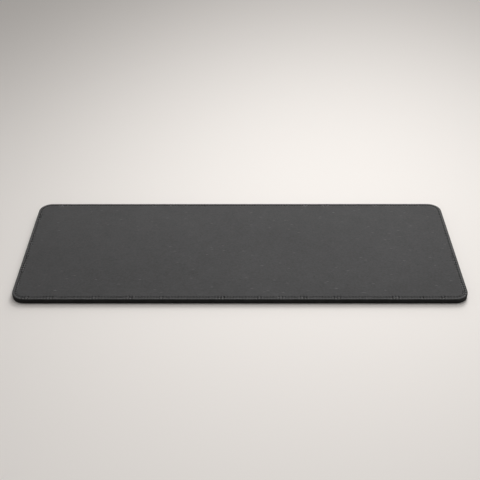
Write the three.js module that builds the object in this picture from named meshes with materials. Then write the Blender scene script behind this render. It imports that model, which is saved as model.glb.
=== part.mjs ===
// A wide, thin mouse pad: a cloth skin, a foam cushion and a rubber base, bonded in a flat stack.
// A lockstitch runs all round just inside the edge, and a rubber band closes the cut edge.
// Millimetres, +Z up. The origin is the middle of the underside, +X runs along the long side,
// and the user sits at the -Y side.

import * as THREE from "three";

// Outline of the finished pad
const padLength = 600;
const padDepth = 225;
const cornerRadius = 18;

// Layers, from the desk up
const baseThickness = 2;
const baseFilmThickness = 0.2;
const coreThickness = 3.4;
const coverFilmThickness = 0.2;
const coverThickness = 1.2;

// Rolled edge of the cloth skin, where it meets the band
const coverEdgeRun = 0.8;
const coverEdgeDrop = 0.3;

// Band round the cut edge of the layers
const bandThickness = 0.8;
const bandDeskClearance = 0.4;
const bandRoundingShare = 0.75;

// Seam of two threads, the needle thread above and the bobbin thread below
const seamInset = 5;
const stitchLength = 4;
const needleThreadDiameter = 0.6;
const bobbinThreadDiameter = 0.6;
const stitchRise = 0.2;
const threadClearance = 0.1;

// Channels that the seam draws into the skin and that is moulded in the base
const channelSlope = 0.9;
const needleThreadRecess = 0.05;
const bobbinThreadRecess = 0.2;

// Flats in a quarter turn of the outline, on a rounded edge, on a channel's side and on a thread
const cornerSteps = 10;
const edgeSteps = 3;
const slopeSteps = 3;
const bobbinSides = 8;
const needleSides = 4;
const stepsPerStitch = 3;

const quarterTurn = Math.PI / 2;

// Heights of the faces where the layers meet
const baseTop = baseThickness;
const coreBottom = baseTop + baseFilmThickness;
const coreTop = coreBottom + coreThickness;
const coverBottom = coreTop + coverFilmThickness;
const padTop = coverBottom + coverThickness;

// The centre of one of the four round corners, anticlockwise from +X +Y.
function cornerCentre(corner) {
  const sideX = corner === 0 || corner === 3 ? 1 : -1;
  const sideY = corner < 2 ? 1 : -1;
  return new THREE.Vector2(
    sideX * (padLength / 2 - cornerRadius),
    sideY * (padDepth / 2 - cornerRadius),
  );
}

function direction(angle) {
  return new THREE.Vector2(Math.cos(angle), Math.sin(angle));
}

// The pad's outline drawn in by an inset, as an anticlockwise ring at one height.
function outlineRing(inset, height) {
  const ring = [];
  for (let corner = 0; corner < 4; corner++) {
    for (let step = 0; step <= cornerSteps; step++) {
      const out = direction((corner + step / cornerSteps) * quarterTurn);
      const place = cornerCentre(corner).addScaledVector(out, cornerRadius - inset);
      ring.push(new THREE.Vector3(place.x, place.y, height));
    }
  }
  return ring;
}

// Closes a stack of rings into a solid: the last ring joins the first, or a flat cap closes each
// end. Rings of the outline run from the underside's middle outwards, up and inwards again.
function solidFromRings(rings, { capped }) {
  const size = rings[0].length;
  const positions = rings.flat().flatMap((point) => point.toArray());
  const triangles = [];
  const joins = capped ? rings.length - 1 : rings.length;
  for (let row = 0; row < joins; row++) {
    const near = row * size;
    const far = ((row + 1) % rings.length) * size;
    for (let i = 0; i < size; i++) {
      const next = (i + 1) % size;
      triangles.push(near + i, near + next, far + next);
      triangles.push(near + i, far + next, far + i);
    }
  }
  if (capped) {
    const top = (rings.length - 1) * size;
    const flat = rings[0].map((point) => new THREE.Vector2(point.x, point.y));
    const topFlat = rings.at(-1).map((point) => new THREE.Vector2(point.x, point.y));
    for (const [a, b, c] of THREE.ShapeUtils.triangulateShape(flat, [])) {
      triangles.push(c, b, a);
    }
    for (const [a, b, c] of THREE.ShapeUtils.triangulateShape(topFlat, [])) {
      triangles.push(top + a, top + b, top + c);
    }
  }
  const geometry = new THREE.BufferGeometry();
  geometry.setAttribute("position", new THREE.Float32BufferAttribute(positions, 3));
  geometry.setIndex(triangles);
  geometry.computeVertexNormals();
  return geometry;
}

// A solid swept round the outline, from a section given as [inset, height] points.
function sweptSolid(section, { capped }) {
  const rings = section.map(([inset, height]) => outlineRing(inset, height));
  return solidFromRings(rings, { capped });
}

// One rounded side of a channel, from its floor (share 0) to the face that it is cut in (share 1).
function slopePoints(floorInset, outwards, faceHeight, depth) {
  const points = [];
  for (let step = 0; step <= slopeSteps; step++) {
    const share = step / slopeSteps;
    const inset = floorInset - outwards * channelSlope * share;
    const risen = (1 - Math.cos(Math.PI * share)) / 2;
    points.push([inset, faceHeight - depth * (1 - risen)]);
  }
  return points;
}

// A face with the seam's channel in it, from outside the seam to inside it. A negative depth
// cuts the channel upwards, into an underside.
function channelPoints(faceHeight, depth, threadDiameter) {
  const halfFloor = threadDiameter / 2 + threadClearance;
  const outer = slopePoints(seamInset - halfFloor, 1, faceHeight, depth);
  const inner = slopePoints(seamInset + halfFloor, -1, faceHeight, depth);
  return [...outer.reverse(), ...inner];
}

// The needle thread's channel goes down through every layer above the core by the same depth.
const needleChannelDepth =
  needleThreadDiameter + stitchRise + threadClearance + needleThreadRecess;
const bobbinChannelDepth = bobbinThreadDiameter + threadClearance + bobbinThreadRecess;

function pressedFace(faceHeight) {
  return channelPoints(faceHeight, needleChannelDepth, needleThreadDiameter);
}

// A layer that is pressed down by the seam on its upper face.
function upperFace(faceHeight) {
  return [[bandThickness, faceHeight], ...pressedFace(faceHeight)];
}

// A quarter of an ellipse, from the side of a body round to its top.
function roundedEdge(sideInset, topHeight, run, drop) {
  const points = [];
  for (let step = 0; step <= edgeSteps; step++) {
    const angle = (step / edgeSteps) * quarterTurn;
    points.push([
      sideInset + run * (1 - Math.cos(angle)),
      topHeight - drop * (1 - Math.sin(angle)),
    ]);
  }
  return points;
}

function topCover() {
  const underside = upperFace(coverBottom).reverse();
  const edge = roundedEdge(bandThickness, padTop, coverEdgeRun, coverEdgeDrop);
  return sweptSolid([...underside, ...edge, ...pressedFace(padTop)], { capped: true });
}

function coverBondFilm() {
  const underside = upperFace(coreTop).reverse();
  return sweptSolid([...underside, ...upperFace(coverBottom)], { capped: true });
}

function cushionCore() {
  const section = [[bandThickness, coreBottom], ...upperFace(coreTop)];
  return sweptSolid(section, { capped: true });
}

function baseBondFilm() {
  const section = [
    [bandThickness, baseTop],
    [bandThickness, coreBottom],
  ];
  return sweptSolid(section, { capped: true });
}

function gripBase() {
  const channel = channelPoints(0, -bobbinChannelDepth, bobbinThreadDiameter).reverse();
  const section = [...channel, [bandThickness, 0], [bandThickness, baseTop]];
  return sweptSolid(section, { capped: true });
}

function edgeBand() {
  const rounding = bandThickness * bandRoundingShare;
  const bandTop = padTop - coverEdgeDrop;
  const upper = roundedEdge(0, bandTop, rounding, rounding);
  const lower = roundedEdge(0, -bandDeskClearance, rounding, rounding)
    .map(([inset, height]) => [inset, -height])
    .reverse();
  const section = [
    [bandThickness, bandDeskClearance],
    ...lower,
    ...upper,
    [bandThickness, bandTop],
  ];
  return sweptSolid(section, { capped: false });
}

// Lies in the base's channel, clear of the desk.
function bobbinThread() {
  const radius = bobbinThreadDiameter / 2;
  const height = bobbinThreadRecess + radius;
  const section = [];
  for (let side = 0; side < bobbinSides; side++) {
    const angle = ((side + 0.5) / bobbinSides) * 2 * Math.PI;
    const point = direction(angle).multiplyScalar(radius);
    section.push([seamInset - point.x, height - point.y]);
  }
  return sweptSolid(section.reverse(), { capped: false });
}

// The place on the seam at a distance along it, and the way out of the pad there.
function seamPlace(distance) {
  const radius = cornerRadius - seamInset;
  const arc = radius * quarterTurn;
  let left = distance;
  let corner = 0;
  const straight = () => (corner % 2 === 0 ? padLength : padDepth) - 2 * cornerRadius;
  while (corner < 3 && left >= arc + straight()) {
    left -= arc + straight();
    corner += 1;
  }
  const turned = Math.min(left / arc, 1) * quarterTurn;
  const out = direction(corner * quarterTurn + turned);
  const onwards = direction(corner * quarterTurn + turned + quarterTurn);
  const place = cornerCentre(corner)
    .addScaledVector(out, radius)
    .addScaledVector(onwards, Math.max(left - arc, 0));
  return { place, out };
}

// Lies flat over each stitch and dips at each needle hole.
function needleThread() {
  const radius = needleThreadDiameter / 2;
  const straights = 2 * (padLength + padDepth) - 8 * cornerRadius;
  const seamLength = straights + 2 * Math.PI * (cornerRadius - seamInset);
  const stitches = Math.round(seamLength / stitchLength);
  const steps = stitches * stepsPerStitch;
  const lowest = padTop - needleChannelDepth + threadClearance + radius;
  const rings = [];
  for (let step = 0; step < steps; step++) {
    const { place, out } = seamPlace((step / steps) * seamLength);
    const atHole = step % stepsPerStitch === 0;
    const height = lowest + (atHole ? 0 : stitchRise);
    const ring = [];
    for (let side = 0; side < needleSides; side++) {
      const around = direction(-(side / needleSides) * 2 * Math.PI).multiplyScalar(radius);
      const x = place.x + out.x * around.x;
      const y = place.y + out.y * around.x;
      ring.push(new THREE.Vector3(x, y, height + around.y));
    }
    rings.push(ring);
  }
  return solidFromRings(rings, { capped: false });
}

function piece(name, geometry, { color, roughness }) {
  const material = new THREE.MeshStandardMaterial({
    color,
    roughness,
    metalness: 0,
    flatShading: true,
  });
  const mesh = new THREE.Mesh(geometry, material);
  mesh.name = name;
  return mesh;
}

const cloth = { color: "#4c4c4d", roughness: 0.95 };
const film = { color: "#b9b4a8", roughness: 0.5 };
const foam = { color: "#1f1f20", roughness: 0.95 };
const rubber = { color: "#161616", roughness: 0.8 };
const band = { color: "#1b1b1b", roughness: 0.7 };
const thread = { color: "#3a3a3b", roughness: 0.8 };

const group = new THREE.Group();
group.name = "mouse_pad";
group.add(piece("grip_base", gripBase(), rubber));
group.add(piece("base_bond_film", baseBondFilm(), film));
group.add(piece("cushion_core", cushionCore(), foam));
group.add(piece("cover_bond_film", coverBondFilm(), film));
group.add(piece("top_cover", topCover(), cloth));
group.add(piece("edge_band", edgeBand(), band));
group.add(piece("needle_thread", needleThread(), thread));
group.add(piece("bobbin_thread", bobbinThread(), thread));

export default group;
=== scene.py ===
import math
import bpy
import numpy as np
from mathutils import Matrix, Vector, noise
from mathutils.geometry import delaunay_2d_cdt


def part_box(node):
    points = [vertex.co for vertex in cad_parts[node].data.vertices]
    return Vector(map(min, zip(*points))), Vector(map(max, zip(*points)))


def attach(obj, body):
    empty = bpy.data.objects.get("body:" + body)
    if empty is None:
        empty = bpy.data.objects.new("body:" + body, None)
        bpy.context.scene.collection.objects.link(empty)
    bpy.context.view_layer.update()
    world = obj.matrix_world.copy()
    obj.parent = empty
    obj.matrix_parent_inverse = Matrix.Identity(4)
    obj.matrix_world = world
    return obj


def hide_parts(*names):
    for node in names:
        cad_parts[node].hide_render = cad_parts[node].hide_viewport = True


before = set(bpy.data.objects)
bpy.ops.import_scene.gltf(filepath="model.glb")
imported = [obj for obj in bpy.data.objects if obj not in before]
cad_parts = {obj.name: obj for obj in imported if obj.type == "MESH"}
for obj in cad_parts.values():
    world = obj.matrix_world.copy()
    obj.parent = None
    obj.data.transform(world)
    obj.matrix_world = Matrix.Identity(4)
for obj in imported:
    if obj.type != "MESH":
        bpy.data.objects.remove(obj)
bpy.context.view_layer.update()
mm = 0.001


def addObject(name, data):
    thing = bpy.data.objects.new(name, data)
    bpy.context.scene.collection.objects.link(thing)
    return thing


# Camera

cameraSetup = {
    "place": (0.00283, -0.9876, 0.7384),
    "pitch": 35.99,  # degrees down from level
    "yaw": 0.154,
    "roll": -0.111,
    "focalPixels": 874.5,
    "pictureWidth": 480,  # pixels
    "sensorWidth": 36,
    "farthest": 50,  # metres that it sees
}


def makeCamera(setup):
    data = bpy.data.cameras.new("frontCamera")
    data.sensor_width = setup["sensorWidth"]
    data.lens = setup["focalPixels"] * setup["sensorWidth"] / setup["pictureWidth"]
    data.clip_end = setup["farthest"]
    camera = addObject("frontCamera", data)
    turn = Matrix.Rotation(math.radians(setup["yaw"]), 4, "Z")
    turn = turn @ Matrix.Rotation(math.radians(90 - setup["pitch"]), 4, "X")
    turn = turn @ Matrix.Rotation(math.radians(setup["roll"]), 4, "Z")
    camera.matrix_world = Matrix.Translation(setup["place"]) @ turn
    bpy.context.scene.camera = camera


makeCamera(cameraSetup)
print("camera placed")

# Sizes of the pad, from the frame where it has them

padLow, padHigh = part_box("edge_band")
coverLow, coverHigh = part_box("top_cover")
coreLow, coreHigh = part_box("cushion_core")
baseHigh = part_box("grip_base")[1]
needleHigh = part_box("needle_thread")[1]

pad = {
    "length": padHigh.x - padLow.x,
    "depth": padHigh.y - padLow.y,
    "cornerRadius": 18 * mm,
    "stitchLength": 4 * mm,
    "threadDiameter": 0.6 * mm,
    "layerInset": padHigh.x - coverHigh.x,  # the layers are cut inside the band
    "top": coverHigh.z,
    "filmThickness": 0.2 * mm,
}
pad["coverUnderside"] = coreHigh.z + pad["filmThickness"]
pad["channelDepth"] = pad["coverUnderside"] - coverLow.z
pad["seamInset"] = padHigh.x - needleHigh.x + pad["threadDiameter"] / 2
pad["seamRadius"] = pad["cornerRadius"] - pad["seamInset"]
straightRuns = 2 * (pad["length"] + pad["depth"]) - 8 * pad["cornerRadius"]
pad["seamLength"] = straightRuns + 2 * math.pi * pad["seamRadius"]
pad["stitches"] = round(pad["seamLength"] / pad["stitchLength"])
pad["stitchPitch"] = pad["seamLength"] / pad["stitches"]

# Shapes that follow the outline

filling = {
    "clearance": 0.6,  # from a ring to the nearest point of its field, in spacings
    "insideOnly": 1,  # the kind of result that keeps the triangles inside the ring
    "mergeDistance": 1e-9,
}


def outlineFrames(samples, shift=0.0):
    # feet run along the corners' centres, outs point away from the pad
    arc = pad["seamRadius"] * math.pi / 2
    feet, outs = [], []
    for sample in range(samples):
        left = (sample + shift) / samples * pad["seamLength"]
        for corner in range(4):
            side = (pad["length"], pad["depth"])[corner % 2] - 2 * pad["cornerRadius"]
            if left < arc + side or corner == 3:
                break
            left -= arc + side
        turn = (corner + min(left / arc, 1)) * math.pi / 2
        out = Vector((math.cos(turn), math.sin(turn)))
        along = max(left - arc, 0)
        centreX = (pad["length"] / 2 - pad["cornerRadius"]) * (1 if corner in (0, 3) else -1)
        centreY = (pad["depth"] / 2 - pad["cornerRadius"]) * (1 if corner < 2 else -1)
        feet.append((centreX - out.y * along, centreY + out.x * along))
        outs.append((out.x, out.y))
    return np.array(feet), np.array(outs)


def outlineRow(frames, inset, height):
    feet, outs = frames
    reach = np.broadcast_to(pad["cornerRadius"] - np.asarray(inset), len(feet))
    flat = feet + outs * reach[:, None]
    return np.column_stack([flat, np.broadcast_to(height, len(feet))])


def quarterArc(steps):
    # cosine and sine through a quarter turn, from angle 0
    angles = [step / steps * math.pi / 2 for step in range(steps + 1)]
    return [(math.cos(angle), math.sin(angle)) for angle in angles]


def insetAt(x, y):
    # how far inside the pad's outline a point lies
    overX = abs(x) - (pad["length"] / 2 - pad["cornerRadius"])
    overY = abs(y) - (pad["depth"] / 2 - pad["cornerRadius"])
    outside = math.hypot(max(overX, 0), max(overY, 0)) + min(max(overX, overY), 0)
    return pad["cornerRadius"] - outside


def fieldPoints(ring, spacing, heightAt):
    # evenly spaced points inside a ring, in staggered rows
    edge = insetAt(*ring[0][:2]) + filling["clearance"] * spacing
    points = []
    rowStep = spacing * math.sqrt(3) / 2
    rows = int(pad["depth"] / 2 / rowStep)
    columns = int(pad["length"] / 2 / spacing)
    for row in range(-rows, rows + 1):
        for column in range(-columns - 1, columns + 1):
            x = (column + (0.5 if row % 2 else 0)) * spacing
            y = row * rowStep
            if insetAt(x, y) > edge:
                points.append((x, y, heightAt(x, y)))
    return points


def fillRing(ring, spacing, heightAt):
    # triangles over a ring of points, given as places in the list ring + points
    points = fieldPoints(ring, spacing, heightAt) if spacing else []
    flat = [Vector(point[:2]) for point in [*ring, *points]]
    border = [list(range(len(ring)))]
    cut = delaunay_2d_cdt(flat, [], border, filling["insideOnly"], filling["mergeDistance"])
    faces, origins = cut[2:4]
    triangles = []
    for face in faces:
        a, b, c = (origins[corner][0] for corner in face)
        area = (flat[b] - flat[a]).cross(flat[c] - flat[a])
        triangles.append((a, b, c) if area > 0 else (c, b, a))
    return points, triangles


def outlineSolid(name, rows, closed=False, spacings=(None, None), heightAt=None):
    # rows run from the underside's middle outwards, up and in again; fields close both ends
    size = len(rows[0])
    vertices = [tuple(point) for row in rows for point in row]
    faces = []
    for row in range(len(rows) if closed else len(rows) - 1):
        near = row * size
        far = (row + 1) % len(rows) * size
        for i in range(size):
            j = (i + 1) % size
            faces.append((near + i, near + j, far + j, far + i))
    if not closed:
        for end, spacing in zip((0, len(rows) - 1), spacings):
            flatHeight = rows[end][0][2]
            over = heightAt if end and heightAt else lambda x, y, z=flatHeight: z
            points, triangles = fillRing([tuple(p) for p in rows[end]], spacing, over)
            start = len(vertices)
            vertices += points
            for triangle in triangles:
                corners = [end * size + c if c < size else start + c - size for c in triangle]
                faces.append(tuple(corners if end else reversed(corners)))
    mesh = bpy.data.meshes.new(name)
    mesh.from_pydata(vertices, [], faces)
    mesh.validate()
    return finishMesh(name, mesh)


def profileSolid(name, samples, profile):
    # a solid with the same profile all round, given as insets and heights
    frames = outlineFrames(samples)
    return outlineSolid(name, [outlineRow(frames, inset, height) for inset, height in profile])


def finishMesh(name, mesh, sharpAngle=40):
    mesh.shade_smooth()
    mesh.set_sharp_from_angle(angle=math.radians(sharpAngle))
    return addObject(name, mesh)


def handOver(piece, material, slot, *nodes):
    piece.data.materials.clear()
    piece.data.materials.append(material)
    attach(piece, "root")
    if nodes:
        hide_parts(*nodes)


# Materials

spotCore = 0.4  # share of a spot's radius inside which it is at its strongest


def startMaterial(name, specular=0.5):
    material = bpy.data.materials.new(name)
    material.use_nodes = True
    shader = material.node_tree.nodes["Principled BSDF"]
    shader.inputs["Specular IOR Level"].default_value = specular
    return material, material.node_tree, shader


def addTexture(tree, kind, scale, stretch=(1, 1, 1), turn=0.0):
    # a pattern on the piece's own coordinates
    place = tree.nodes.new("ShaderNodeTexCoord")
    mapping = tree.nodes.new("ShaderNodeMapping")
    mapping.inputs["Rotation"].default_value = (0, 0, math.radians(turn))
    mapping.inputs["Scale"].default_value = stretch
    texture = tree.nodes.new(kind)
    texture.inputs["Scale"].default_value = scale
    tree.links.new(place.outputs["Object"], mapping.inputs["Vector"])
    tree.links.new(mapping.outputs["Vector"], texture.inputs["Vector"])
    return texture


def addNoise(tree, scale, detail=2.0, stretch=(1, 1, 1)):
    texture = addTexture(tree, "ShaderNodeTexNoise", scale, stretch)
    texture.inputs["Detail"].default_value = detail
    return texture.outputs["Fac"]


def addSpots(tree, scale, share, radius, turn=0.0, slim=1.0):
    # spots of a radius, slimmer one way, in a share of the cells of a flat pattern
    cells = addTexture(tree, "ShaderNodeTexVoronoi", scale, (1, slim, 1), turn)
    cells.voronoi_dimensions = "2D"
    core = spotCore * radius * scale
    spot = addRange(tree, cells.outputs["Distance"], radius * scale, core)
    pick = tree.nodes.new("ShaderNodeSeparateColor")
    tree.links.new(cells.outputs["Color"], pick.inputs["Color"])
    picked = addMath(tree, "LESS_THAN", pick.outputs["Red"], share)
    return addMath(tree, "MULTIPLY", spot, picked)


def addAttribute(tree, name, output="Fac"):
    node = tree.nodes.new("ShaderNodeAttribute")
    node.attribute_name = name
    return node.outputs[output]


def addMath(tree, operation, first, second=0.0):
    node = tree.nodes.new("ShaderNodeMath")
    node.operation = operation
    for socket, value in zip(node.inputs, (first, second)):
        if isinstance(value, (int, float)):
            socket.default_value = value
        else:
            tree.links.new(value, socket)
    return node.outputs[0]


def addRange(tree, value, low, high, toLow=0.0, toHigh=1.0):
    node = tree.nodes.new("ShaderNodeMapRange")
    tree.links.new(value, node.inputs["Value"])
    limits = {"From Min": low, "From Max": high, "To Min": toLow, "To Max": toHigh}
    for name, number in limits.items():
        node.inputs[name].default_value = number
    return node.outputs["Result"]


def addMix(tree, factor, dark, light):
    node = tree.nodes.new("ShaderNodeMix")
    node.data_type = "RGBA"
    tree.links.new(factor, node.inputs["Factor"])
    for socket, colour in zip((node.inputs[6], node.inputs[7]), (dark, light)):
        if isinstance(colour, tuple):
            socket.default_value = (*colour, 1)
        else:
            tree.links.new(colour, socket)
    return node.outputs[2]


def addRoughness(tree, shader, share, low, high):
    # the roughness where the share is 0 and where it is 1
    tree.links.new(addRange(tree, share, 0, 1, low, high), shader.inputs["Roughness"])


def addBump(tree, shader, height, depth):
    node = tree.nodes.new("ShaderNodeBump")
    node.inputs["Distance"].default_value = depth
    tree.links.new(height, node.inputs["Height"])
    tree.links.new(node.outputs["Normal"], shader.inputs["Normal"])


cloth = {
    "dark": (0.0255, 0.0255, 0.0265),
    "light": (0.0455, 0.0455, 0.0470),
    "toneReach": (0.36, 0.64),  # the tones that are quite dark and quite light
    "roughness": (0.88, 0.74),  # where the tone is dark and where it is light
    "specular": 0.07,
    "sheen": 0.35,
    "sheenRoughness": 0.5,
    "yarns": 2400,  # to the metre, across them
    "yarnDetail": 1,
    "yarnRun": 0.13,  # a yarn's width as a share of its run before it dives under another
    "weaveRaise": 0.07,  # how far the upper yarns lie above the middle of the noise
    "weaveWeight": 0.43,
    "weaveDepth": 0.10 * mm,
    "mottle": ((330, 2, 0.30), (60, 2, 0.15), (7, 2, 0.12)),  # scale, detail and weight
    "lint": {"scale": 95, "share": 0.0036, "radius": 2.6 * mm, "slim": 6},
    "lintTurns": (8, 47, 84, 121, 160),  # degrees, one set of stray fibres each
    "lintColour": (0.112, 0.112, 0.114),
    "stains": {"scale": 70, "share": 0.08, "radius": 2.0 * mm, "slim": 2},
    "stainShare": 0.7,
    "stainColour": (0.018, 0.018, 0.018),
    "paintedShadeColour": (0.001, 0.001, 0.001),
    "wearAndHighlightColour": (0.115, 0.115, 0.117),
    "wearAndHighlightShare": 0.6,
}


def wovenCloth():
    # fine yarns crossing both ways, painted lighter on top, with stray fibres, darker spots,
    # edges that are worn and carry a painted highlight, and painted shade in the seam
    material, tree, shader = startMaterial("wovenCloth", cloth["specular"])
    shader.inputs["Sheen Weight"].default_value = cloth["sheen"]
    shader.inputs["Sheen Roughness"].default_value = cloth["sheenRoughness"]
    warp = addNoise(tree, cloth["yarns"], cloth["yarnDetail"], (cloth["yarnRun"], 1, 1))
    weft = addNoise(tree, cloth["yarns"], cloth["yarnDetail"], (1, cloth["yarnRun"], 1))
    weave = addMath(tree, "MAXIMUM", warp, weft)
    # the upper yarns are painted lighter than the gaps between them: painted highlight and shade,
    # with a random mottle added
    level = addMath(tree, "SUBTRACT", weave, cloth["weaveRaise"])
    tone = addMath(tree, "MULTIPLY", level, cloth["weaveWeight"])
    for scale, detail, weight in cloth["mottle"]:
        patches = addMath(tree, "MULTIPLY", addNoise(tree, scale, detail), weight)
        tone = addMath(tree, "ADD", patches, tone)
    tone = addRange(tree, tone, *cloth["toneReach"])
    addRoughness(tree, shader, tone, *cloth["roughness"])
    colour = addMix(tree, tone, cloth["dark"], cloth["light"])
    stained = addMath(tree, "MULTIPLY", addSpots(tree, **cloth["stains"]), cloth["stainShare"])
    colour = addMix(tree, stained, colour, cloth["stainColour"])
    for turn in cloth["lintTurns"]:
        fibres = addSpots(tree, turn=turn, **cloth["lint"])
        colour = addMix(tree, fibres, colour, cloth["lintColour"])
    # the rim is lighter: partly wear, partly a painted highlight on the raised cloth between the
    # creases
    wornAndHighlighted = addMath(tree, "MULTIPLY", addAttribute(tree, "edgeWearAndHighlight"), cloth["wearAndHighlightShare"])
    colour = addMix(tree, wornAndHighlighted, colour, cloth["wearAndHighlightColour"])
    # painted shade in the needle holes, the creases, the groove and under the rolled edge
    colour = addMix(tree, addAttribute(tree, "seamPaintedShade"), colour, cloth["paintedShadeColour"])
    tree.links.new(colour, shader.inputs["Base Color"])
    addBump(tree, shader, weave, cloth["weaveDepth"])
    return material


rubberNoise = {
    "fineSpeckle": (700, 3),  # scale and detail
    "broadSpeckle": (90, 2),
    "speckleReach": (0.8, 1.2),  # the sums of both that are quite dark and quite light
    "grain": (1400, 3),
}

rubbers = {
    "bandRubber": {
        "greys": (0.004, 0.009),
        "roughness": (0.76, 0.64),
        "specular": 0.17,
        "grainDepth": 0.04 * mm,
    },
    "baseRubber": {
        "greys": (0.009, 0.016),
        "roughness": (0.86, 0.74),
        "specular": 0.3,
        "grainDepth": 0.06 * mm,
    },
    "foamRubber": {
        "greys": (0.008, 0.020),
        "roughness": (1.0, 0.9),
        "specular": 0.3,
        "grainDepth": 0.25 * mm,
    },
}


def mattRubber(name):
    rubber = rubbers[name]
    material, tree, shader = startMaterial(name, rubber["specular"])
    fine = addNoise(tree, *rubberNoise["fineSpeckle"])
    broad = addNoise(tree, *rubberNoise["broadSpeckle"])
    speckle = addRange(tree, addMath(tree, "ADD", fine, broad), *rubberNoise["speckleReach"])
    colours = [(grey, grey, grey) for grey in rubber["greys"]]
    tree.links.new(addMix(tree, speckle, *colours), shader.inputs["Base Color"])
    addRoughness(tree, shader, speckle, *rubber["roughness"])
    addBump(tree, shader, addNoise(tree, *rubberNoise["grain"]), rubber["grainDepth"])
    return material


thread = {
    "dark": (0.018, 0.018, 0.0185),
    "light": (0.220, 0.220, 0.224),
    "toneBias": 2,  # few stitches are light, most are dark
    "toneReach": 3.0,  # the tone at which a stitch is as light as the thread can be
    "roughness": (0.8, 0.62),  # between the plies and on them
    "specular": 0.4,
    "sheen": 0.15,
    "plies": 3,
    "layLength": 2.2 * mm,  # one full turn of a ply
    "plyDepth": 0.08 * mm,
    "fuzz": (2600, 2),  # scale and detail
    "fuzzWeight": 0.6,
}


def twistedThread():
    # plies that run round the thread, from the side and the length that each stitch carries
    material, tree, shader = startMaterial("twistedThread", thread["specular"])
    shader.inputs["Sheen Weight"].default_value = thread["sheen"]
    side = tree.nodes.new("ShaderNodeSeparateXYZ")
    tree.links.new(addAttribute(tree, "threadSide", "Vector"), side.inputs[0])
    around = addMath(tree, "ARCTAN2", side.outputs["Y"], side.outputs["X"])
    layRate = 2 * math.pi / thread["layLength"]
    along = addMath(tree, "MULTIPLY", addAttribute(tree, "threadLength"), layRate)
    turn = addMath(tree, "MULTIPLY", addMath(tree, "ADD", around, along), thread["plies"] / 2)
    ply = addMath(tree, "ABSOLUTE", addMath(tree, "COSINE", turn))
    addRoughness(tree, shader, ply, *thread["roughness"])
    fuzz = addMath(tree, "MULTIPLY", addNoise(tree, *thread["fuzz"]), thread["fuzzWeight"])
    stitch = addMath(tree, "POWER", addAttribute(tree, "stitchTone"), thread["toneBias"])
    tone = addMath(tree, "MULTIPLY", addMath(tree, "ADD", ply, fuzz), stitch)
    tone = addRange(tree, tone, 0, thread["toneReach"])
    # the thread is painted darker between the plies and lighter on them: painted shade and
    # highlight
    colour = addMix(tree, tone, thread["dark"], thread["light"])
    tree.links.new(colour, shader.inputs["Base Color"])
    addBump(tree, shader, ply, thread["plyDepth"])
    return material


film = {
    "dark": (0.42, 0.39, 0.34),
    "light": (0.55, 0.52, 0.46),
    "roughness": (0.52, 0.4),
    "cloud": (120, 3),  # scale and detail
    "cloudReach": (0.3, 0.7),
    "ripple": (300, 3),
    "rippleDepth": 0.05 * mm,
}


def meltFilm():
    material, tree, shader = startMaterial("meltFilm")
    cloud = addRange(tree, addNoise(tree, *film["cloud"]), *film["cloudReach"])
    tree.links.new(addMix(tree, cloud, film["dark"], film["light"]), shader.inputs["Base Color"])
    addRoughness(tree, shader, cloud, *film["roughness"])
    addBump(tree, shader, addNoise(tree, *film["ripple"]), film["rippleDepth"])
    return material


clothFinish = wovenCloth()
bandFinish = mattRubber("bandRubber")
baseFinish = mattRubber("baseRubber")
foamFinish = mattRubber("foamRubber")
threadFinish = twistedThread()
filmFinish = meltFilm()
print("materials made")

# Channel that the seam draws down into the layers

channel = {
    "floorHalf": 0.4 * mm,
    "slope": 0.9 * mm,
    "slopeShares": (0, 1 / 3, 2 / 3, 1),
}


def channelSide(outwards, faceHeight, depth):
    # inset and height of the points up one side, from the channel's floor
    points = []
    for share in channel["slopeShares"]:
        inset = pad["seamInset"] - outwards * (channel["floorHalf"] + channel["slope"] * share)
        points.append((inset, faceHeight - depth * (1 + math.cos(math.pi * share)) / 2))
    return points


def channelAcross(first, faceHeight, depth):
    # down the first side and up the other; 1 stands for the outer side and -1 for the inner
    down = channelSide(first, faceHeight, depth)[::-1]
    return down + channelSide(-first, faceHeight, depth)


# Cloth skin

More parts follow.
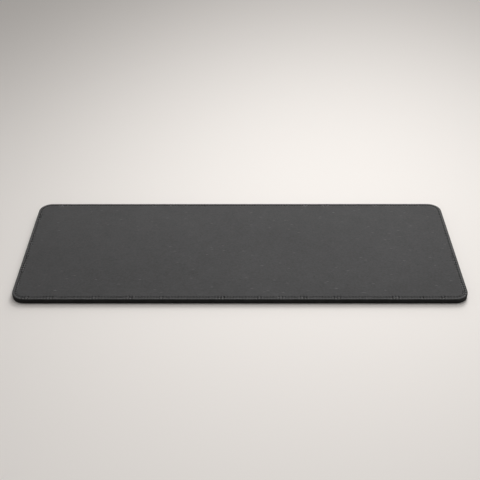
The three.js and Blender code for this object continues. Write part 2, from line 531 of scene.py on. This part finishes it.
skin = {
    "samplesPerStitch": 6,
    "edgeRun": 0.8 * mm,
    "edgeDrop": 0.3 * mm,
    "edgeSteps": 4,
    "rimInsets": (2.1 * mm, 2.7 * mm, 3.2 * mm),
    "innerOffsets": (2.0 * mm, 2.8 * mm),
    "rimPuff": 0.06 * mm,
    "grooveHalfWidth": 1.2 * mm,
    "grooveShares": (1.3, 1.0, 0.78, 0.58, 0.38, 0.18),  # rows across one side of the groove
    "grooveDepth": 0.2 * mm,  # half way between two needle holes
    "pullDepth": 0.25 * mm,  # further down at a needle hole
    "pullShare": 0.25,  # how much wider the groove gets at a hole
    "pitDepth": 0.75 * mm,
    "pitRadius": 0.65 * mm,
    "puckerDepth": 0.22 * mm,  # the wide hollow that each hole draws into the rim
    "puckerReach": 3.6 * mm,
    "creaseDepth": 0.16 * mm,  # the narrow fold from each hole out to the edge
    "creaseWidth": 0.8 * mm,
    "creaseOut": 7 * mm,
    "creaseIn": 2 * mm,
    "calmPull": 0.3,  # the thread's pull along most of the seam
    "tightPull": 1.9,  # and in the few runs where it puckers the cloth
    "tightFrom": (0.1, 0.36),  # the noise at which a run begins to tighten, and is tight
    "runScale": 66,  # changes to the metre
    "holeSpread": 0.3,  # how much the pull differs from hole to hole
    "holeSeed": 11,
    "shadeRadius": 0.75 * mm,  # the painted shade of an open hole
    # painted shade in each crease
    "creaseShade": 1.1,
    "grooveShade": 0.7,  # painted shade along the seam's groove
    "grooveShadeAt": -1.0 * mm,  # across the seam, towards the rim
    "grooveShadeWidth": 0.8 * mm,
    "rollShade": 0.5,  # painted shade where the rolled edge goes down behind the band
    "rollWearAndHighlight": 0.3,  # wear and painted highlight on the rolled edge, between two creases
    "rimWearAndHighlight": (1.0, 0.85, 0.25),  # and on the rim
    "slackWearAndHighlight": 0.65,  # the share of that wear and highlight where the thread doesn't pull
    "pullWearAndHighlight": 0.9,  # and what the pull adds to it
    "fieldInset": 9 * mm,
    "fieldSpacing": 5 * mm,
    "rippleHeight": 0.05 * mm,
    "rippleScale": 22,  # ripples to the metre
}


def ripple(x, y):
    return noise.noise(Vector((x, y, 0)) * skin["rippleScale"]) * skin["rippleHeight"]


def holePulls():
    # how hard the thread pulls at each needle hole
    places = outlineRow(outlineFrames(pad["stitches"]), pad["seamInset"], 0)
    runs = [noise.noise(Vector(place) * skin["runScale"]) for place in places]
    pulls = np.interp(runs, skin["tightFrom"], (skin["calmPull"], skin["tightPull"]))
    random = np.random.default_rng(skin["holeSeed"])
    return pulls * (1 + skin["holeSpread"] * random.uniform(-1, 1, pad["stitches"]))


def needleHoles(samples):
    # for each sample: the way along the seam to the nearest hole, and how hard that hole pulls
    along = np.arange(samples) * pad["stitches"] / samples
    nearest = np.round(along).astype(int) % pad["stitches"]
    return (along - np.round(along)) * pad["stitchPitch"], holePulls()[nearest]


def holePull(toHole, strength):
    return strength * (1 + np.cos(2 * math.pi * toHole / pad["stitchPitch"])) / 2


def creaseShare(offset, toHole, strength):
    # offset is across the seam, inwards, and toHole along it, both from the nearest needle hole
    reach = skin["creaseIn"] if offset > 0 else skin["creaseOut"]
    fade = math.sqrt(max(1 - abs(offset) / reach, 0))
    return strength * fade * np.exp(-((toHole / skin["creaseWidth"]) ** 2))


def skinDip(offset, toHole, strength):
    # what the stitches draw down outside the groove
    pull = holePull(toHole, strength)
    pucker = skin["puckerDepth"] * pull * math.exp(-((offset / skin["puckerReach"]) ** 2))
    return pucker + skin["creaseDepth"] * creaseShare(offset, toHole, strength)


def skinHeight(offset, toHole, strength):
    pull = holePull(toHole, strength)
    width = skin["grooveHalfWidth"] * (1 + skin["pullShare"] * pull)
    across = np.clip(abs(offset) / width, 0, 1)
    groove = (1 + np.cos(math.pi * across)) / 2
    depth = (skin["grooveDepth"] + skin["pullDepth"] * pull) * groove
    nearHole = np.exp(-(offset**2 + toHole**2) / skin["pitRadius"] ** 2)
    pit = skin["pitDepth"] * strength * nearHole
    return pad["top"] - depth - pit - skinDip(offset, toHole, strength)


# painted shade in the open holes, in the creases and along the groove
def skinShade(offset, toHole, strength):
    hole = strength * np.exp(-(offset**2 + toHole**2) / skin["shadeRadius"] ** 2)
    crease = skin["creaseShade"] * creaseShare(offset, toHole, strength)
    middle = (offset - skin["grooveShadeAt"]) / skin["grooveShadeWidth"]
    return np.clip(hole + crease + skin["grooveShade"] * math.exp(-(middle**2)), 0, 1)


def skinUnderside():
    # inset and height of the points from the channel in the underside out to the band
    under = pad["coverUnderside"]
    return [*channelAcross(-1, under, pad["channelDepth"]), (pad["layerInset"], under)]


def skinRoll():
    # the same for the rolled edge, up from the band
    profile = []
    for cosine, sine in quarterArc(skin["edgeSteps"]):
        inset = pad["layerInset"] + skin["edgeRun"] * (1 - cosine)
        profile.append((inset, pad["top"] - skin["edgeDrop"] * (1 - sine)))
    return profile


def makeSkin():
    samples = pad["stitches"] * skin["samplesPerStitch"]
    frames = outlineFrames(samples)
    holes = needleHoles(samples)
    rows, wearsAndHighlights, shades = [], [], []

    def addRow(inset, height, wearAndHighlight=0.0, shade=0.0):
        rows.append(outlineRow(frames, inset, height))
        wearsAndHighlights.append(np.broadcast_to(wearAndHighlight, samples))
        shades.append(np.broadcast_to(shade, samples))

    for inset, height in skinUnderside():
        addRow(inset, height)
    # the rim is lighter between the creases, the more the thread pulls: wear and a painted
    # highlight on the raised cloth
    creased = np.minimum(holes[1], 1) * np.exp(-((holes[0] / skin["creaseWidth"]) ** 2))
    raised = (1 - creased) * (skin["slackWearAndHighlight"] + skin["pullWearAndHighlight"] * holes[1])
    for inset, height in skinRoll():
        offset = inset - pad["seamInset"]
        risen = (height - pad["top"]) / skin["edgeDrop"] + 1
        height = height - risen * skinDip(offset, *holes)
        # painted shade where the rolled edge goes down behind the band
        shade = skinShade(offset, *holes) + (1 - risen) * skin["rollShade"]
        addRow(inset, height, skin["rollWearAndHighlight"] * raised, shade)
    for inset, wearAndHighlight in zip(skin["rimInsets"], skin["rimWearAndHighlight"]):
        offset = inset - pad["seamInset"]
        height = skinHeight(offset, *holes) + skin["rimPuff"]
        addRow(inset, height, wearAndHighlight * raised, skinShade(offset, *holes))
    shares = skin["grooveShares"]
    for share in [-s for s in shares] + [0] + list(reversed(shares)):
        offset = share * skin["grooveHalfWidth"]
        height = skinHeight(offset, *holes)
        addRow(pad["seamInset"] + offset, height, shade=skinShade(offset, *holes))
    for offset in skin["innerOffsets"]:
        height = skinHeight(offset, *holes) + skin["rimPuff"]
        addRow(pad["seamInset"] + offset, height, shade=skinShade(offset, *holes))
    addRow(skin["fieldInset"], pad["top"])
    piece = outlineSolid(
        "cloth_skin",
        rows,
        spacings=(None, skin["fieldSpacing"]),
        heightAt=lambda x, y: pad["top"] + ripple(x, y),
    )
    for name, values in (("edgeWearAndHighlight", wearsAndHighlights), ("seamPaintedShade", shades)):
        flat = np.zeros(len(piece.data.vertices), dtype=np.float32)
        flat[: len(rows) * samples] = np.concatenate(values)
        piece.data.attributes.new(name, "FLOAT", "POINT").data.foreach_set("value", flat)
    handOver(piece, clothFinish, "cover_cloth", "top_cover")
    return piece


clothSkin = makeSkin()
print("cloth skin made,", len(clothSkin.data.polygons), "faces")

# Foam cushion

cushion = {
    "samplesPerStitch": 2,
}


def makeCushion():
    samples = pad["stitches"] * cushion["samplesPerStitch"]
    profile = [(pad["layerInset"], coreLow.z), (pad["layerInset"], coreHigh.z)]
    profile += channelAcross(1, coreHigh.z, pad["channelDepth"])
    piece = profileSolid("foam_cushion", samples, profile)
    handOver(piece, foamFinish, "cushion_foam", "cushion_core")


makeCushion()
print("foam cushion made")

# Geometry Nodes helpers

def addSocket(tree, label, kind, way="INPUT"):
    return tree.interface.new_socket(name=label, in_out=way, socket_type="NodeSocket" + kind)


def newTree(name, sizes):
    # a tree with its inputs; each entry gives a name, a kind of socket and a value
    tree = bpy.data.node_groups.new(name, "GeometryNodeTree")
    addSocket(tree, "Geometry", "Geometry")
    for label, kind, value in sizes:
        socket = addSocket(tree, label, kind)
        if value is not None:
            socket.default_value = value
    addSocket(tree, "Geometry", "Geometry", "OUTPUT")
    return tree, tree.nodes.new("NodeGroupInput").outputs, tree.nodes.new("NodeGroupOutput")


def wire(tree, kind, inputs=(), **settings):
    # a node with its settings, and its inputs by name or place, each a value or another socket
    node = tree.nodes.new(kind)
    for setting, value in settings.items():
        setattr(node, setting, value)
    for place, value in dict(inputs).items():
        if isinstance(value, bpy.types.NodeSocket):
            tree.links.new(value, node.inputs[place])
        else:
            node.inputs[place].default_value = value
    return node.outputs


def calc(tree, operation, first, second=0.0):
    return wire(tree, "ShaderNodeMath", {0: first, 1: second}, operation=operation)[0]


def minus(tree, value):
    return calc(tree, "MULTIPLY", value, -1.0)


def vector(tree, **parts):
    return wire(tree, "ShaderNodeCombineXYZ", parts)[0]


def randomBetween(tree, low, high, seed):
    inputs = {2: low, 3: high, "Seed": seed}
    return wire(tree, "FunctionNodeRandomValue", inputs, data_type="FLOAT")[1]


def pointValue(tree, name):
    return wire(tree, "GeometryNodeInputNamedAttribute", {"Name": name}, data_type="FLOAT")[0]


def keep(tree, geometry, name, kind, value, domain="POINT"):
    # stores a named attribute for the material to read
    inputs = {"Geometry": geometry, "Name": name, "Value": value}
    return wire(tree, "GeometryNodeStoreNamedAttribute", inputs, data_type=kind, domain=domain)[0]


def copyToPoints(tree, points, shape, turn):
    # one copy at each point, turned by its angles about X, Y and Z
    rotation = wire(tree, "FunctionNodeEulerToRotation", {0: turn})[0]
    inputs = {"Points": points, "Instance": shape, "Rotation": rotation}
    return wire(tree, "GeometryNodeInstanceOnPoints", inputs)[0]


def closeTree(tree, result, geometry, material):
    real = wire(tree, "GeometryNodeRealizeInstances", {0: geometry})[0]
    painted = wire(tree, "GeometryNodeSetMaterial", {"Geometry": real, "Material": material})[0]
    tree.links.new(painted, result.inputs[0])


def growMesh(name, tree, source, values):
    # runs a tree on a mesh and keeps only the plain mesh that it gives
    holder = addObject(name + "Source", source)
    modifier = holder.modifiers.new("nodes", "NODES")
    modifier.node_group = tree
    for item in tree.interface.items_tree:
        if item.in_out == "INPUT" and item.name in values:
            modifier[item.identifier] = values[item.name]
    grown = holder.evaluated_get(bpy.context.evaluated_depsgraph_get())
    mesh = bpy.data.meshes.new_from_object(grown)
    mesh.name = name
    bpy.data.objects.remove(holder)
    return mesh


# Rubber base with its moulded underside

base = {
    "samplesPerStitch": 2,
    "reliefDepth": 0.3 * mm,
    "borderInset": 8 * mm,
    "borderSlope": 0.3 * mm,
    "edgeChamfer": 0.2 * mm,
    "channelDepth": 0.9 * mm,
    "studPitch": 6 * mm,
    "studRadius": 1.6 * mm,
    "studTopShare": 0.75,
    "studSides": 8,
    "studMargin": 2.4 * mm,  # clear of the border
    "studTurn": 4,  # degrees of seeded turn
    "seed": 3,
}


def makeBasePlate():
    edge, chamfer = pad["layerInset"], base["edgeChamfer"]
    border = base["borderInset"]
    profile = [(border + base["borderSlope"], base["reliefDepth"]), (border, 0)]
    profile += channelAcross(-1, 0, -base["channelDepth"])
    profile += [(edge + chamfer, 0), (edge, chamfer), (edge, baseHigh.z)]
    return profileSolid("rubber_base", pad["stitches"] * base["samplesPerStitch"], profile)


def studTree():
    # low round studs that point down, one on each point of the source
    tree, given, result = newTree("gripStuds", [
        ("Radius", "Float", base["studRadius"]),
        ("Top Share", "Float", base["studTopShare"]),
        ("Height", "Float", base["reliefDepth"]),
        ("Sides", "Int", base["studSides"]),
        ("Turn", "Float", math.radians(base["studTurn"])),
        ("Seed", "Int", base["seed"]),
        ("Rubber", "Material", None),
    ])
    stud = wire(tree, "GeometryNodeMeshCone", {
        "Vertices": given["Sides"],
        "Radius Top": calc(tree, "MULTIPLY", given["Radius"], given["Top Share"]),
        "Radius Bottom": given["Radius"],
        "Depth": given["Height"],
    })[0]
    random = randomBetween(tree, minus(tree, given["Turn"]), given["Turn"], given["Seed"])
    turn = vector(tree, X=math.pi, Z=random)
    spread = copyToPoints(tree, given["Geometry"], stud, turn)
    closeTree(tree, result, spread, given["Rubber"])
    return tree


def makeBase():
    plate = makeBasePlate()
    edge = base["borderInset"] + base["studMargin"]
    ring = [(pad["length"] / 2 - edge, 0)]
    places = fieldPoints(ring, base["studPitch"], lambda x, y: base["reliefDepth"])
    source = bpy.data.meshes.new("studPlaces")
    source.from_pydata(places, [], [])
    studs = growMesh("gripStuds", studTree(), source, {"Rubber": baseFinish})
    piece = finishMesh("grip_studs", studs)
    handOver(plate, baseFinish, "base_rubber", "grip_base")
    handOver(piece, baseFinish, "base_rubber")
    return piece


gripStuds = makeBase()
print("rubber base made,", len(gripStuds.data.polygons), "faces in the studs")

# Band round the cut edge

band = {
    "samplesPerStitch": 3,
    "deskGap": 0.1 * mm,
    "rounding": 0.35 * mm,
    "arcSteps": 6,
    "waver": 0.04 * mm,
    "waverScale": 40,
}


def makeBand():
    frames = outlineFrames(pad["stitches"] * band["samplesPerStitch"])
    bottom, top = band["deskGap"], padHigh.z
    turn = band["rounding"]
    arc = quarterArc(band["arcSteps"])
    profile = [(pad["layerInset"], bottom)]
    profile += [(turn * (1 - sine), bottom + turn * (1 - cosine)) for cosine, sine in arc]
    profile += [(turn * (1 - cosine), top - turn * (1 - sine)) for cosine, sine in arc]
    profile.append((pad["layerInset"], top))
    rows = []
    for inset, height in profile:
        row = outlineRow(frames, inset, height)
        if inset < pad["layerInset"]:
            for i, point in enumerate(row):
                sway = (1 + noise.noise(Vector(point) * band["waverScale"])) / 2
                row[i, :2] -= frames[1][i] * sway * band["waver"]
        rows.append(row)
    return outlineSolid("rubber_band", rows, closed=True)


handOver(makeBand(), bandFinish, "band_rubber", "edge_band")
print("edge band made")

# Lockstitch seam: one stitch repeated along the needle holes

seam = {
    "rise": 0.2 * mm,
    "plunge": 0.75 * mm,  # down into the needle hole at each end
    "crownShare": 2,
    "plungeShare": 8,  # how sharply a stitch turns down
    "needleHeight": -0.15 * mm,  # the thread's centre in mid-stitch, from the skin's top
    "bobbinHeight": 0.5 * mm,  # the same, from the desk
    "bobbinPlungeShare": 0.4,
    "steps": 8,
    "sides": 6,
    "sharpAngle": 60,  # degrees
    "lean": 2.5,  # degrees
    "toneSpread": 0.7,  # how much lighter or darker than the rest a stitch can be
    "seed": 7,
}


def stitchTree():
    tree, given, result = newTree("lockstitch", [
        ("Length", "Float", pad["stitchLength"]),
        ("Diameter", "Float", pad["threadDiameter"]),
        ("Rise", "Float", seam["rise"]),
        ("Plunge", "Float", seam["plunge"]),
        ("Crown", "Float", seam["crownShare"]),
        ("Turn Down", "Float", seam["plungeShare"]),
        ("Steps", "Int", seam["steps"]),
        ("Sides", "Int", seam["sides"]),
        ("Lean", "Float", math.radians(seam["lean"])),
        ("Tone Spread", "Float", seam["toneSpread"]),
        ("Seed", "Int", seam["seed"]),
        ("Thread", "Material", None),
    ])
    # one stitch along X, from hole to hole
    half = calc(tree, "MULTIPLY", given["Length"], 0.5)
    ends = {"Start": vector(tree, X=minus(tree, half)), "End": vector(tree, X=half)}
    line = wire(tree, "GeometryNodeCurvePrimitiveLine", ends)[0]
    line = wire(tree, "GeometryNodeResampleCurve", {"Curve": line, "Count": given["Steps"]})[0]
    place = wire(tree, "GeometryNodeInputPosition")[0]
    alongX = wire(tree, "ShaderNodeSeparateXYZ", {0: place})["X"]
    share = calc(tree, "ABSOLUTE", calc(tree, "DIVIDE", alongX, half))
    crown = calc(tree, "MULTIPLY", given["Rise"], calc(tree, "POWER", share, given["Crown"]))
    dive = calc(tree, "MULTIPLY", given["Plunge"], calc(tree, "POWER", share, given["Turn Down"]))
    drop = vector(tree, Z=minus(tree, calc(tree, "ADD", crown, dive)))
    line = keep(tree, line, "threadLength", "FLOAT", alongX)
    line = wire(tree, "GeometryNodeSetPosition", {"Geometry": line, "Offset": drop})[0]
    radius = calc(tree, "MULTIPLY", given["Diameter"], 0.5)
    circle = {"Resolution": given["Sides"], "Radius": radius}
    ring = wire(tree, "GeometryNodeCurvePrimitiveCircle", circle)[0]
    ring = keep(tree, ring, "threadSide", "FLOAT_VECTOR", place)
    sweep = {"Curve": line, "Profile Curve": ring, "Fill Caps": True}
    tube = wire(tree, "GeometryNodeCurveToMesh", sweep)[0]

    # repeated at every stitch's middle, turned along the seam
    lean = randomBetween(tree, minus(tree, given["Lean"]), given["Lean"], given["Seed"])
    turn = vector(tree, Z=calc(tree, "ADD", pointValue(tree, "seamTurn"), lean))
    spread = copyToPoints(tree, given["Geometry"], tube, turn)
    darkest = calc(tree, "SUBTRACT", 1.0, given["Tone Spread"])
    lightest = calc(tree, "ADD", 1.0, given["Tone Spread"])
    tone = randomBetween(tree, darkest, lightest, calc(tree, "ADD", given["Seed"], 1.0))
    # stitches are lighter where the thread pulls tight: a painted highlight, over a tone that
    # differs at random
    tone = calc(tree, "MULTIPLY", tone, pointValue(tree, "seamPull"))
    spread = keep(tree, spread, "stitchTone", "FLOAT", tone, "INSTANCE")
    closeTree(tree, result, spread, given["Thread"])
    return tree


def seamPoints(height):
    # one point at the middle of each stitch, with the seam's direction and the thread's pull
    frames = outlineFrames(pad["stitches"], shift=0.5)
    mesh = bpy.data.meshes.new("seamPoints")
    mesh.from_pydata([tuple(p) for p in outlineRow(frames, pad["seamInset"], height)], [], [])
    turns = [math.atan2(out[0], -out[1]) for out in frames[1]]
    pulls = holePulls()
    tightness = (pulls + np.roll(pulls, -1)) / 2
    for name, values in (("seamTurn", turns), ("seamPull", tightness)):
        mesh.attributes.new(name, "FLOAT", "POINT").data.foreach_set("value", values)
    return mesh


def makeThread(name, node, tree, height, changes):
    mesh = growMesh(name, tree, seamPoints(height), {"Thread": threadFinish, **changes})
    piece = finishMesh(name, mesh, seam["sharpAngle"])
    handOver(piece, threadFinish, "seam_thread", node)


lockstitch = stitchTree()
needleHeight = pad["top"] + seam["needleHeight"]
bobbinChanges = {
    "Rise": -seam["rise"],
    "Plunge": -seam["plunge"] * seam["bobbinPlungeShare"],
    "Seed": seam["seed"] + 1,
}
makeThread("needle_stitches", "needle_thread", lockstitch, needleHeight, {})
makeThread("bobbin_stitches", "bobbin_thread", lockstitch, seam["bobbinHeight"], bobbinChanges)
print("seam made,", pad["stitches"], "stitches")

for node in ("cover_bond_film", "base_bond_film"):
    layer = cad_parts[node]
    layer.data.materials.clear()
    layer.data.materials.append(filmFinish)
print("films finished")

# Floor and light

studio = {
    "floorSize": 30,
    "floorColour": (0.845, 0.814, 0.789),
    "floorRoughness": 0.9,
    "floorSpecular": 0.0,
    "backdropColour": (0.80, 0.775, 0.75),  # of the sky and the far floor, as they are seen
    "fadeCentre": (0, 0.35, 0),
    "fadeReach": (0.86, 1.2),  # metres from there at which the floor begins to fade, and has
    "skyColour": (0.86, 0.845, 0.825),
    "skyStrength": 0.45,
    "lampColour": (1, 0.995, 0.985),
    "lamps": {
        "backPanel": {
            "place": (0.6, 1.9, 1.6),
            "aim": (0.1, -0.25, 0),
            "size": 1,
            "spread": 40,  # degrees
            "power": 2.74,
        },
        "lowPanel": {
            "place": (0.6, 2.2, 0.8),
            "aim": (0, -0.1, 0),
            "size": 0.8,
            "spread": 60,
            "power": 1.57,
        },
        "poolPanel": {
            "place": (0.4, 0.9, 2.4),
            "aim": (0.12, 0.12, 0),
            "size": 0.8,
            "spread": 30,
            "power": 0.79,
        },
    },
}


def addSeen(tree):
    # 1 for what is seen, itself or in a reflection, and 0 for the light that it gives
    path = tree.nodes.new("ShaderNodeLightPath").outputs
    glossOrGlass = addMath(tree, "MAXIMUM", path["Is Glossy Ray"], path["Is Transmission Ray"])
    return addMath(tree, "MAXIMUM", path["Is Camera Ray"], glossOrGlass)


def blendSurface(tree, share, first, second, output):
    blend = tree.nodes.new("ShaderNodeMixShader")
    tree.links.new(share, blend.inputs["Fac"])
    tree.links.new(first, blend.inputs[1])
    tree.links.new(second, blend.inputs[2])
    tree.links.new(blend.outputs[0], tree.nodes[output].inputs["Surface"])


def fadeToBackdrop(tree, shader, setup):
    # the floor goes over into the backdrop, well away from the pad
    place = tree.nodes.new("ShaderNodeTexCoord")
    away = tree.nodes.new("ShaderNodeVectorMath")
    away.operation = "DISTANCE"
    away.inputs[1].default_value = setup["fadeCentre"]
    tree.links.new(place.outputs["Object"], away.inputs[0])
    far = addRange(tree, away.outputs["Value"], *setup["fadeReach"])
    far.node.interpolation_type = "SMOOTHSTEP"
    glow = tree.nodes.new("ShaderNodeEmission")
    glow.inputs["Color"].default_value = (*setup["backdropColour"], 1)
    share = addMath(tree, "MULTIPLY", far, addSeen(tree))
    blendSurface(tree, share, shader.outputs["BSDF"], glow.outputs["Emission"], "Material Output")


def makeFloor(setup):
    half = setup["floorSize"] / 2
    corners = [(-half, -half, 0), (half, -half, 0), (half, half, 0), (-half, half, 0)]
    mesh = bpy.data.meshes.new("studioFloor")
    mesh.from_pydata(corners, [], [(0, 1, 2, 3)])
    floor = addObject("studioFloor", mesh)
    material, tree, shader = startMaterial("paleFloor", setup["floorSpecular"])
    shader.inputs["Base Color"].default_value = (*setup["floorColour"], 1)
    shader.inputs["Roughness"].default_value = setup["floorRoughness"]
    fadeToBackdrop(tree, shader, setup)
    mesh.materials.append(material)


def makeSky(setup):
    world = bpy.data.worlds.new("studioSky")
    bpy.context.scene.world = world
    world.use_nodes = True
    tree = world.node_tree
    light = tree.nodes["Background"]
    light.inputs["Color"].default_value = (*setup["skyColour"], 1)
    light.inputs["Strength"].default_value = setup["skyStrength"]
    backdrop = tree.nodes.new("ShaderNodeBackground")
    backdrop.inputs["Color"].default_value = (*setup["backdropColour"], 1)
    blendSurface(tree, addSeen(tree), light.outputs[0], backdrop.outputs[0], "World Output")


def makeLamp(name, lamp, colour):
    data = bpy.data.lights.new(name, "AREA")
    data.shape = "SQUARE"
    data.size = lamp["size"]
    data.spread = math.radians(lamp["spread"])  # a honeycomb in front of the panel
    data.energy = lamp["power"]
    data.color = colour
    panel = addObject(name, data)
    way = Vector(lamp["aim"]) - Vector(lamp["place"])
    turn = way.to_track_quat("-Z", "Y").to_matrix().to_4x4()
    panel.matrix_world = Matrix.Translation(lamp["place"]) @ turn


makeFloor(studio)
makeSky(studio)
for name, lamp in studio["lamps"].items():
    makeLamp(name, lamp, studio["lampColour"])
bpy.context.scene.view_settings.view_transform = "Standard"
print("studio made")
